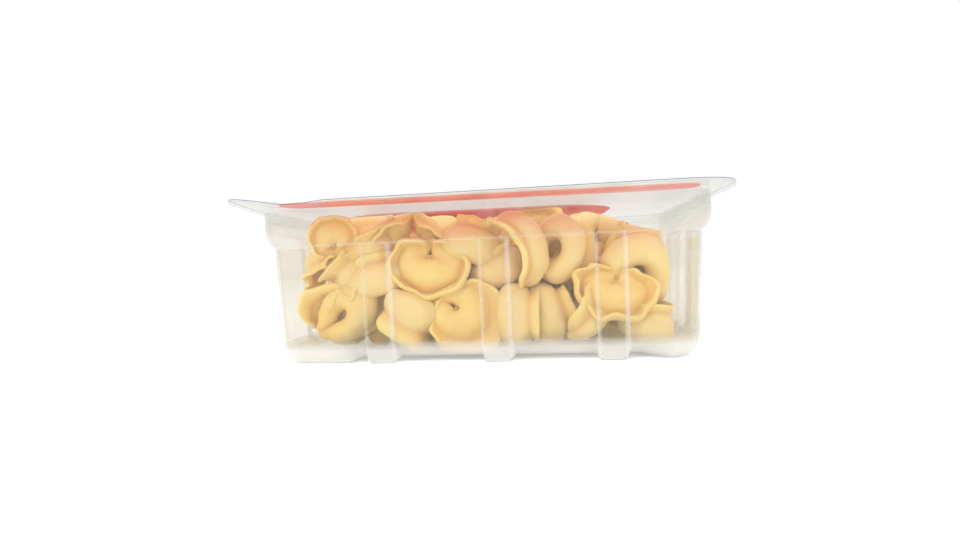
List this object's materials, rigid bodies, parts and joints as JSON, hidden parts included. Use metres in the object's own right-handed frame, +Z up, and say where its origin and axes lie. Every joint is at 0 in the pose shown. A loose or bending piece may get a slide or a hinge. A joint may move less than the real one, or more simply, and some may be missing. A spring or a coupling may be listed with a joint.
{
  "type": "packed tortellini tray",
  "caption": "Sealed see-through plastic tray of fresh tortellini, with a wide flange, moulded ribs in its walls and a printed lid film.",
  "frame": {"origin": "on the ground under the middle of the pack", "axes": "+X along the tray's long side, +Y from the front to the back, +Z up"},
  "size_m": [0.18, 0.144, 0.0616],
  "materials": {
    "clear_plastic": "clear, slightly milky thermoformed plastic",
    "lid_film": "clear glossy film with red print",
    "fresh_pasta": "smooth, slightly waxy egg pasta dough"
  },
  "bodies": {
    "root": {"tray": "clear_plastic", "film": "lid_film", "tortellini": "fresh_pasta"}
  },
  "joints": []
}
